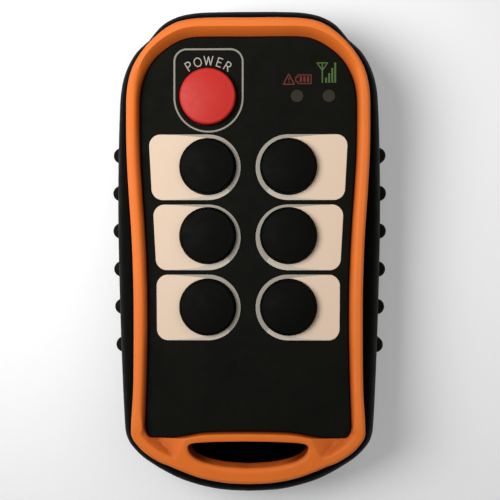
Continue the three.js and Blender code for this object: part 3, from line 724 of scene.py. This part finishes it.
def make_grip(name, side):
    """A grip pad with half-round ribs, as a grid over the case side that is pushed outwards."""
    length = GRIP_LENGTH
    columns, rows = 371, 65
    ys = np.linspace(length / 2, -length / 2, columns)
    zs = np.linspace(GRIP_Z[0], GRIP_Z[1], rows)
    along = case_outline.at(np.arctan2(40, ys))
    tangent = np.gradient(along, axis=0)
    tangent /= np.linalg.norm(tangent, axis=1)[:, None]
    outwards = np.stack([-tangent[:, 1], tangent[:, 0]], 1)
    travel = np.concatenate([[0], np.cumsum(np.linalg.norm(np.diff(along, axis=0), axis=1))])
    rib_ys = [RIB_PITCH * ((RIB_COUNT - 1) / 2 - k) + 0.3 for k in range(RIB_COUNT)]
    rib_at = [travel[np.abs(along[:, 1] - y).argmin()] for y in rib_ys]
    low_end, high_end = GRIP_Z[0] + 0.2 + RIB_END, GRIP_Z[1] - 0.1 - RIB_END
    outer, inner = [], []
    for z in zs:
        for c in range(columns):
            edge = min(travel[c], travel[-1] - travel[c], z - zs[0], zs[-1] - z)
            rise = -0.35 * max(0, 1 - edge / 0.5) ** 2
            for at in rib_at:
                beyond = max(0, low_end - z, z - high_end) * RIB_RADIUS / RIB_END
                distance = math.hypot(travel[c] - at, beyond)
                if distance < RIB_RADIUS:
                    rise = max(rise, math.sqrt(RIB_RADIUS**2 - distance**2) - RIB_SINK)
            x, y = along[c] + outwards[c] * rise
            outer.append((side * x, y, z))
            x, y = along[c] - outwards[c] * GRIP_DEPTH
            inner.append((side * x, y, z))
    total = columns * rows
    starts = [r * columns + c for r in range(rows - 1) for c in range(columns - 1)]
    faces = [(a, a + 1, a + columns + 1, a + columns) for a in starts]
    faces += [[total + i for i in reversed(face)] for face in faces]
    grid = np.arange(total).reshape(rows, columns)
    border = [*grid[0], *grid[1:, -1], *grid[-1, -2::-1], *grid[-2:0:-1, 0]]
    faces += [(a, total + a, total + b, b) for a, b in zip(border, border[1:] + border[:1])]
    return settle(make(name + "_piece", outer + inner, faces), grip_rubber, "case", [name])


# ---------- Bumper ----------
FOOT_START = -49.5  # from here to the foot the bumper's crest falls away
FOOT_SLOPE = 0.2
LINING = 1.2  # wall of the collar that lines the slot
LINING_END = 21.5
RIM_WIDTH = 2.9  # at the lower corners
VALLEY_FLOOR = 29.4


def smooth_step(value, low, high):
    share = np.clip((value - low) / (high - low), 0, 1)
    return share**2 * (3 - 2 * share)


def wall_reach(y):
    """How far the bumper's inner wall reaches back from the keypad outline."""
    return 1.7 + 0.7 * smooth_step(y, 44, 60) - 1.1 * smooth_step(-y, 46, 52)


def wall_height(share, y):
    """Height of the inner wall, 0 to 1: a plain slope at the top end and a rounding elsewhere."""
    share = np.clip(share, 0, 1)
    rounded = np.sqrt(1 - (1 - share)**2)
    slope = 1 - soft_ramp(1 - share, 0.12) + 0.06 * share
    return rounded + (slope - rounded) * smooth_step(y, 44, 60)


def lip_reach(y):
    """How far the slot's rim is rounded: a little, and more along its lower side."""
    return 0.45 + 1.3 * smooth_step(-y, 56.5, 60.5)


def crest_height(y):
    """The bumper's crest: level, with a soft turn down towards the foot."""
    past = np.clip(FOOT_START - y, 0, None)
    return BUMPER_TOP - FOOT_SLOPE * (past - 2 * (1 - np.exp(-past / 2)))


def rounding(distance, width, drop):
    """How far an edge of this width has dropped at a distance from it."""
    share = np.clip(1 - distance / width, 0, 1)
    return drop * (1 - np.sqrt(1 - share**2))


def soft_ramp(value, softness):
    """Zero below zero and the value above it, with a rounded bend between."""
    return (value + np.sqrt(value**2 + softness**2)) / 2


def valley_height(points, crest, from_outer):
    """The hollow at each lower corner: a floor that rises to the slot's lip, and a steep side at the rim."""
    x, y = np.abs(points[:, 0]), points[:, 1]
    floor = VALLEY_FLOOR + 0.08 * (-54.3 - y) + 0.55 * soft_ramp(24.5 - x, 1.2)
    side = crest - 1.35 * soft_ramp(from_outer - RIM_WIDTH, 0.35)
    return floor + soft_ramp(side - floor, 0.1) + 1.6 * soft_ramp(y + 52.2, 0.6)


def bumper_surface(points):
    """Height of the bumper's upper surface."""
    crest = crest_height(points[:, 1])
    from_outer = bumper_outline.nearest(points)[0]
    from_keypad, on_keypad = keypad_outline.nearest(points)
    from_slot, on_slot = slot_outline.nearest(points)
    along = on_keypad[:, 1]
    inner = OVERLAY_TOP + (crest - OVERLAY_TOP) * wall_height(from_keypad / wall_reach(along), along)
    outer = crest - rounding(from_outer, 1.0, 1.3)
    lip = lip_reach(on_slot[:, 1])
    slot = crest - rounding(from_slot, lip, 0.85 * lip)
    valley = np.maximum(valley_height(points, crest, from_outer), VALLEY_FLOOR)
    return np.minimum.reduce([inner, outer, slot, valley])


def make_bumper():
    reach = wall_reach(keypad_outline.points[:, 1])
    lip = lip_reach(slot_outline.points[:, 1])
    loops = [bumper_outline.inset(d).spaced(300) for d in (0, 0.03, 0.1, 0.2, 0.35, 0.55, 0.8, 1.0)]
    loops += [keypad_outline.inset(-reach * d).spaced(300) for d in (0, 0.02, 0.07, 0.15, 0.3, 0.5, 0.75, 1)]
    loops += [slot_outline.inset(-lip * d).spaced(110) for d in (0, 0.03, 0.1, 0.2, 0.35, 0.55)]
    loops.append(slot_outline.inset(-LINING).spaced(110))
    grid = np.array([(x, y) for x in np.arange(-33, 33.1, 0.4) for y in np.arange(-67, -52, 0.4)])
    openings = (keypad_outline.points, slot_outline.points)
    clear = within(grid, bumper_outline.points, openings) & (bumper_outline.nearest(grid)[0] > 1.2)
    clear &= keypad_outline.nearest(grid)[0] > wall_reach(keypad_outline.nearest(grid)[1][:, 1]) + 0.15
    clear &= slot_outline.nearest(grid)[0] > LINING + 0.2
    points, triangles = triangulate(loops, grid[clear])
    middle = points[triangles].mean(1)
    keep = within(middle, bumper_outline.points, openings)
    triangles, middle = triangles[keep], middle[keep]
    in_lining = Outline(loops[-1]).contains(middle)
    base = SHOULDER + FIT
    patches = [
        (at_height(points, bumper_surface(points)), triangles),
        (at_height(points, base), triangles[~in_lining]),
        (at_height(points, LINING_END), triangles[in_lining]),
        strip(at_height(loops[-1], base), at_height(loops[-1], LINING_END)),
    ]
    for loop, foot in ((loops[0], base), (loops[8], base), (loops[16], LINING_END)):
        patches.append(strip(at_height(loop, bumper_surface(loop)), at_height(loop, foot)))
    piece = make("bumper_piece", *join(patches), weld=0.002)
    return settle(piece, bumper_rubber, "case", ["bumper_bezel"], sharp=42)


# ---------- Keypad ----------


def key_places():
    places = [(side * KEY_X, y) for y in KEY_ROWS for side in (-1, 1)]
    return [*places, (-KEY_X, POWER_Y)]


def key_radius(y):
    return POWER_RADIUS if y == POWER_Y else KEY_RADIUS


def panel_places():
    """Each legend panel's middle, and its key's Y."""
    return [(side * KEY_X, y, key_y) for y, key_y in zip(PANEL_ROWS, KEY_ROWS) for side in (-1, 1)]


def panel_loop(middle_y, side, grow):
    """A legend panel's clockwise outline: round inside, and outside it follows the keypad edge."""
    radius = PANEL_RADIUS + grow
    corner = 3.3
    edge = keypad_outline.inset(PANEL_MARGIN - grow)

    def edge_x(y):
        return edge.at(np.arctan2(28.0, np.array([middle_y + y])))[0][0] - KEY_X

    loop = arc(0, 0, radius, -90, -270, 48)
    for y, start in ((radius - corner, 90), (corner - radius, 0)):
        loop += arc(edge_x(y) - corner, y, corner, start, start - 90, 12)
    loop = np.array(loop) + (KEY_X, middle_y)
    return loop if side > 0 else (loop * (-1, 1))[::-1]


def make_panels():
    for i, (x, middle_y, key_y) in enumerate(panel_places()):
        name = f"legend_panel_{i + 1}"
        loop = panel_loop(middle_y, np.sign(x), 0)
        hole = circle(x, key_y, KEY_RADIUS + KEY_PLAY, 96)
        piece = plate(name + "_piece", loop, [hole], OVERLAY_UNDER, OVERLAY_TOP - PRINT)
        settle(piece, legend_cream, "case", [name])


def make_key_borders():
    """A grey border round the inner side of each key, paler below it and thin along the straight edges."""
    width, taper, reach = PANEL_RADIUS - 0.02, 9, 12
    parts = {"upper": (90, -48, border_grey), "lower": (-48, -90, border_pale)}
    for i, (x, middle_y, key_y) in enumerate(panel_places()):
        side = np.sign(-x)
        for part, (start, end, material) in parts.items():
            outer = arc(0, 0, width, start, end, 40)
            inner = arc(0, key_y - middle_y, KEY_RADIUS + KEY_PLAY + 0.03, start, end, 40)
            if part == "upper":
                outer = [(-reach, width), *outer]
                inner = [(-reach, width - 0.1), (-taper, width - 0.15), (-3, width - 0.7), *inner]
            else:
                outer = [*outer, (-reach, -width)]
                inner = [*inner, (-3, 0.7 - width), (-taper, 0.15 - width), (-reach, 0.1 - width)]
            loop = [(x + side * px, middle_y + py) for px, py in outer + inner[::-1]]
            mark(f"key_border_{part}_{i + 1}", [(loop, [])], material, OVERLAY_TOP - PRINT)


def make_overlay():
    holes = [panel_loop(y, np.sign(x), 0.12) for x, y, _ in panel_places()]
    holes.append(circle(-KEY_X, POWER_Y, POWER_RADIUS + KEY_PLAY, 96))
    holes += [circle(x, LAMP_Y, LAMP_RADIUS + 0.1, 48) for x in LAMPS]
    piece = plate("overlay_piece", keypad_outline.inset(0.3).spaced(300), holes, OVERLAY_UNDER, OVERLAY_TOP)
    settle(piece, overlay_film, "case", ["keypad_overlay"])


def key_profile(radius):
    """Cap with a crowned top, a rounded edge, a flange below the deck, a hollow skirt and a stem."""
    foot = 24.9
    crown = [(r, 33.4 - 0.75 * (r / (radius - 0.8)) ** 2) for r in np.linspace(radius - 0.8, 0, 15)]
    edge = arc(radius - 0.8, 31.85, 0.8, 0, 88, 8)
    return [
        (0, foot), (1.9, foot), (2.1, foot + 0.2), (2.1, 31), (6.4, 31), (6.4, 25.3), (6.6, 25.1),
        (KEY_FLANGE - 0.2, 25.1), (KEY_FLANGE, 25.3), (KEY_FLANGE, DECK_UNDER - FIT - 0.2),
        (KEY_FLANGE - 0.2, DECK_UNDER - FIT), (radius, DECK_UNDER - FIT), *edge, *crown,
    ]


def make_keys():
    for i, (x, y) in enumerate(key_places()):
        is_power = y == POWER_Y
        node = "power_button" if is_power else f"button_{i + 1}"
        material, slot = (power_plastic, "power_red") if is_power else (key_rubber, "key_rubber")
        piece = lathe(node + "_piece", key_profile(key_radius(y)), x, y, 128)
        settle(piece, material, node + "_body", [node])


def make_domes():
    """Silicone domes under the keys."""
    foot = BOARD_TOP + FIT
    for i, (x, y) in enumerate(key_places()):
        is_power = y == POWER_Y
        label = "power" if is_power else f"key_{i + 1}"
        profile = [
            (0, PILL_END), (1.1, PILL_END), (1.3, PILL_END + 0.06), (1.9, 23.85), (2.4, 23.92), (2.8, 23.8),
            (5.2, 21.6), (5.38, 21.3), (5.4, foot + 0.05), (5.45, foot), (6.35, foot), (6.4, foot + 0.05),
            (6.4, 21.35), (6.3, 21.6), (3.4, DOME_TOP - 0.2), (3.1, DOME_TOP - 0.04), (2.8, DOME_TOP),
            (0, DOME_TOP),
        ]
        piece = lathe(label + "_dome_piece", profile, x, y, 64)
        settle(piece, silicone, "case", [label + "_dome"])
        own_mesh(piece)


def make_lamps():
    for name, x in zip(("battery_light_pipe", "signal_light_pipe"), LAMPS):
        profile = [
            (0, 22.6), (1.3, 22.6), (1.4, 22.7), (1.4, 25.2), (2.7, 25.2), (2.8, 25.3),
            (2.8, DECK_UNDER - FIT), (LAMP_RADIUS, DECK_UNDER - FIT), (LAMP_RADIUS, 29.88),
            (LAMP_RADIUS - 0.1, 29.98), (0, OVERLAY_TOP),
        ]
        settle(lathe(name + "_piece", profile, x, LAMP_Y, 48), lamp_smoke, "case", [name])


# ---------- Printed marks ----------


def ribbon(points, width, closed=False):
    """A clockwise loop round a line of this width, or the two sides of a closed line."""
    points = np.array(points, float)
    along = np.roll(points, -1, 0) - np.roll(points, 1, 0) if closed else np.gradient(points, axis=0)
    along /= np.linalg.norm(along, axis=1)[:, None]
    side = np.stack([along[:, 1], -along[:, 0]], 1) * width / 2
    if closed:
        return points - side, points + side
    turns = np.linspace(80, -80, 7)
    start = [points[0] + rotate(-along[0] * width / 2, t) for t in turns]
    end = [points[-1] + rotate(along[-1] * width / 2, t) for t in turns]
    return np.concatenate([points - side, end, (points + side)[::-1], start])


def rotate(vector, degrees):
    t = math.radians(degrees)
    return np.array([vector[0] * math.cos(t) - vector[1] * math.sin(t),
                     vector[0] * math.sin(t) + vector[1] * math.cos(t)])


def area(loop):
    """The signed area of a closed loop, positive when it runs anticlockwise."""
    following = np.roll(loop, -1, 0)
    return (loop[:, 0] * following[:, 1] - following[:, 0] * loop[:, 1]).sum() / 2


def mark(name, areas, material, base=OVERLAY_TOP):
    """One printed mark: a thin plate over areas, each an outer loop and a list of hole loops."""
    points, triangles = triangulate([loop for outer, holes in areas for loop in (outer, *holes)])
    middle = points[triangles].mean(1)
    inked = np.zeros(len(middle), bool)
    for outer, holes in areas:
        inked |= within(middle, outer, holes)
    faces = triangles[inked].tolist()
    edges = [(face[k - 1], face[k]) for face in faces for k in range(3)]
    shared = set(edges)
    count = len(points)
    sides = [[a, b, count + b, count + a] for a, b in edges if (b, a) not in shared]
    sides += [[count + i for i in face] for face in faces]
    piece = make(name, at_height(points, base) + at_height(points, base + PRINT), faces + sides)
    return settle(piece, material, "case", ())


def line_area(points, width, closed=False):
    """The area of a line of this width."""
    if not closed:
        return ribbon(points, width), []
    a, b = ribbon(points, width, closed=True)
    return (a, [b]) if abs(area(a)) > abs(area(b)) else (b, [a])


def polyline(points, step=0.15):
    """The same line with points close together."""
    made = [np.array(points[0], float)]
    for a, b in zip(points, points[1:]):
        a, b = np.array(a, float), np.array(b, float)
        count = max(1, int(np.linalg.norm(b - a) / step))
        made += [a + (b - a) * (k + 1) / count for k in range(count)]
    return made


def closed_line(corners, width):
    """The area of a closed line with straight sides."""
    return line_area(polyline([*corners, corners[0]], 0.2)[:-1], width, closed=True)


def shield_line():
    """The shield round the power key: round at the foot, with two round corners at the top."""
    left, right, top, middle, corner = -21.6, -1.6, 59.0, 44.9, 3.6
    shoulder = top - corner
    points = [
        *arc((left + right) / 2, middle, (right - left) / 2, 0, -180, 64),
        *polyline([(left, middle), (left, shoulder)], 0.55)[1:-1],
        *arc(left + corner, shoulder, corner, 180, 90, 13),
        *polyline([(left + corner, top), (right - corner, top)], 0.67)[1:-1],
        *arc(right - corner, shoulder, corner, 90, 0, 13),
        *polyline([(right, shoulder), (right, middle)], 0.55)[1:-1],
    ]
    mark("power_shield", [line_area(points, 0.5, closed=True)], print_dim)


def bowl(x, top, bottom):
    """The round stroke of a letter, from its stem and back."""
    radius = (top - bottom) / 2
    return [(0, top), *arc(x, bottom + radius, radius, 90, -90, 16), (0, bottom)]


# Strokes of plain capitals, one unit high.
LETTERS = {
    "p": [[(0, 0), (0, 1)], bowl(0.27, 1, 0.46)],
    "o": [[(0.42 + 0.42 * math.sin(t), 0.5 + 0.5 * math.cos(t)) for t in np.linspace(0, 2 * np.pi, 49)]],
    "w": [[(0, 1), (0.27, 0)], [(0.27, 0), (0.52, 0.96)], [(0.52, 0.96), (0.77, 0)], [(0.77, 0), (1.04, 1)]],
    "e": [[(0.5, 1), (0, 1)], [(0, 1), (0, 0)], [(0, 0), (0.5, 0)], [(0, 0.52), (0.44, 0.52)]],
    "r": [[(0, 0), (0, 1)], bowl(0.27, 1, 0.48), [(0.26, 0.48), (0.6, 0)]],
}


def power_label():
    """The plain word over the power key, bent round the key."""
    centre = np.array([-11.7, 44.9])
    base, height, width = 9.5, 2.5, 0.3
    for i, (letter, heading) in enumerate(zip("power", (-31.5, -16.5, 0.5, 18, 32.5))):
        strokes = LETTERS[letter]
        middle = max(x for stroke in strokes for x, _ in stroke) / 2
        is_ring = letter == "o"
        areas = []
        for stroke in strokes:
            local = np.array(polyline(stroke, 0.06)) - (middle, 0)
            placed = [centre + rotate(p * height + (0, base), -heading) for p in local]
            areas.append(line_area(placed[:-1] if is_ring else placed, width, is_ring))
        mark(f"power_label_{i + 1}", areas, print_grey)


def warning_and_battery():
    triangle = [(11.85, 51.7), (13.5, 48.7), (10.3, 48.7)]
    mark("warning_triangle", [closed_line(triangle, 0.34)], print_red)
    mark("warning_bar", [line_area(polyline([(11.9, 50.5), (11.9, 49.9)]), 0.3)], print_red)
    mark("warning_dot", [(circle(11.9, 49.35, 0.19, 16), [])], print_red)
    body = [(14.5, 51.4), (18.4, 51.4), (18.4, 48.9), (14.5, 48.9), (14.5, 49.5), (13.9, 49.5), (13.9, 50.8),
            (14.5, 50.8)]
    mark("battery_line", [closed_line(body, 0.3)], print_red)
    for i, x in enumerate((15.4, 16.45, 17.5)):
        mark(f"battery_bar_{i + 1}", [(rounded_box(0.62, 1.6, 0.1, x, 50.15, 3), [])], print_red)


def signal_sign():
    triangle = [(20.1, 54.9), (23.2, 54.9), (21.65, 52.7)]
    mast = polyline([(21.65, 54.6), (21.65, 49.2)])
    mark("antenna", [closed_line(triangle, 0.34), line_area(mast, 0.38)], print_green)
    for i, (x, top) in enumerate([(22.75, 50.6), (23.65, 51.9), (24.55, 53.4), (25.4, 55.0)]):
        bar = rounded_box(0.55, top - 49.1, 0.08, x, (top + 49.1) / 2, 3)
        mark(f"signal_bar_{i + 1}", [(bar, [])], print_green)


# ---------- Back ----------


def make_door():
    loop = rounded_box(DOOR_X, DOOR_Y, 1.2, 0, BAY_MIDDLE, 6)
    door = rounded_prism("door_piece", loop, DOOR_UNDER, DOOR_TOP, 0.35)
    door_end = BAY_MIDDLE + DOOR_Y / 2
    tongue_top = DOOR_TOP - 0.01
    tongues = [block("tongue", 6.2, 5, 1.3, tongue_top, s * 11, door_end + 0.5) for s in (-1, 1)]
    door = fuse(door, tongues)
    foot = BAY_MIDDLE - DOOR_Y / 2
    lines = [rounded_box(16, 1.0, 0.49, 0, foot + 5 + 2.2 * k, 6) for k in range(5)]
    grooves = [rounded_prism("groove", line, 0.1, 0.95, 0.3) for line in lines]
    arrow = np.array([(0, foot + 16.2), (-3.2, foot + 20), (3.2, foot + 20)])
    grooves.append(prism("arrow", arrow, 0.1, 0.8))
    return settle(cut(door, grooves), case_plastic, "door_body", ["battery_door"])


def make_screws():
    for i, (x, y) in enumerate(SCREWS):
        top = DECK_UNDER - 1.8
        profile = [
            (0, 1.2), (1.6, 1.22), (2.3, 1.42), (2.65, 1.8), (2.75, 2.2), (2.75, SCREW_SEAT - FIT),
            (1.5, SCREW_SEAT - FIT), (1.5, top - 0.4), (1.1, top), (0, top),
        ]
        screw = lathe(f"case_screw_{i + 1}_piece", profile, x, y, 48)
        cross = [block("arm", w, h, 0.6, 2.3, x, y, 0.2) for w, h in ((3.1, 0.72), (0.72, 3.1))]
        settle(cut(screw, cross), zinc, "case", [f"case_screw_{i + 1}"])


# ---------- Inside: CAD pieces with finished materials ----------
INSIDE = {
    silicone: ["housing_gasket"],
    laminate: ["main_board"],
    tinned: ["radio_module"],
    chip_plastic: ["controller_chip", "buzzer", "power_switch", *(f"key_{k}_switch" for k in range(1, 7))],
    case_plastic: ["battery_tray"],
    cell_sleeve: ["battery_cell_1", "battery_cell_2"],
    nickel: ["antenna_wire", "contact_spring_1", "contact_spring_2", "contact_bridge", "positive_terminal",
             "negative_terminal"],
    led_red: ["battery_led"],
    led_green: ["signal_led"],
}
for material, nodes in INSIDE.items():
    for node in nodes:
        for material_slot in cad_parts[node].material_slots:
            material_slot.material = material

make_rear_housing()
make_front_housing()
make_grip("right_grip", 1)
make_grip("left_grip", -1)
make_bumper()
make_overlay()
make_panels()
make_key_borders()
make_keys()
make_domes()
make_lamps()
shield_line()
power_label()
warning_and_battery()
signal_sign()
make_door()
make_screws()

# ---------- Stage, light and camera ----------


def floor_paper():
    n = Nodes("floor_paper")
    n.paint(n.mix(n.noise(30, 2), (0.90, 0.90, 0.90), (0.93, 0.93, 0.93)))
    n.dull(n.noise(200), 0.75, 0.85)
    n.set(Emission_Color=(1, 1, 1, 1), Emission_Strength=0.16)
    return n.material


def make_floor():
    reach = 3000
    corners = [(-reach, -reach, 0), (reach, -reach, 0), (reach, reach, 0), (-reach, reach, 0)]
    floor = make("floor", corners, [(0, 1, 2, 3)])
    floor.data.materials.append(floor_paper())


def soft_light(name, place, target, size, watts, spread=180):
    data = bpy.data.lights.new(name, "AREA")
    data.shape = "DISK"
    data.size = size
    data.energy = watts
    data.spread = math.radians(spread)
    light = put(name, data)
    light.location = place
    light.rotation_euler = (Vector(place) - Vector(target)).to_track_quat("Z", "Y").to_euler()


def make_camera():
    """Almost straight above, a little to the right; the frame is 150 mm wide at mid-height."""
    data = bpy.data.cameras.new("camera")
    data.lens = 91.2
    data.sensor_width = 36
    camera = put("camera", data)
    target = Vector((0.0003, 0.0003, 0.020))
    camera.location = target + Vector((0.0093, 0, 0.380))
    back = (camera.location - target).normalized()
    right = Vector((0, 1, 0)).cross(back).normalized()
    camera.rotation_euler = Matrix((right, back.cross(right), back)).transposed().to_euler()
    bpy.context.scene.camera = camera


make_floor()
soft_light("key_light", (-0.19, 0.06, 0.33), (-0.045, 0.072, 0.02), 0.24, 0.36, spread=90)
soft_light("fill_light", (0.40, 0.18, 0.80), (0, 0, 0.02), 0.9, 1.6)
world = bpy.data.worlds.new("studio")
world.use_nodes = True
background = world.node_tree.nodes["Background"].inputs
background["Color"].default_value = (1, 1, 1, 1)
background["Strength"].default_value = 0.12
bpy.context.scene.world = world
bpy.context.scene.view_settings.view_transform = "Standard"
make_camera()
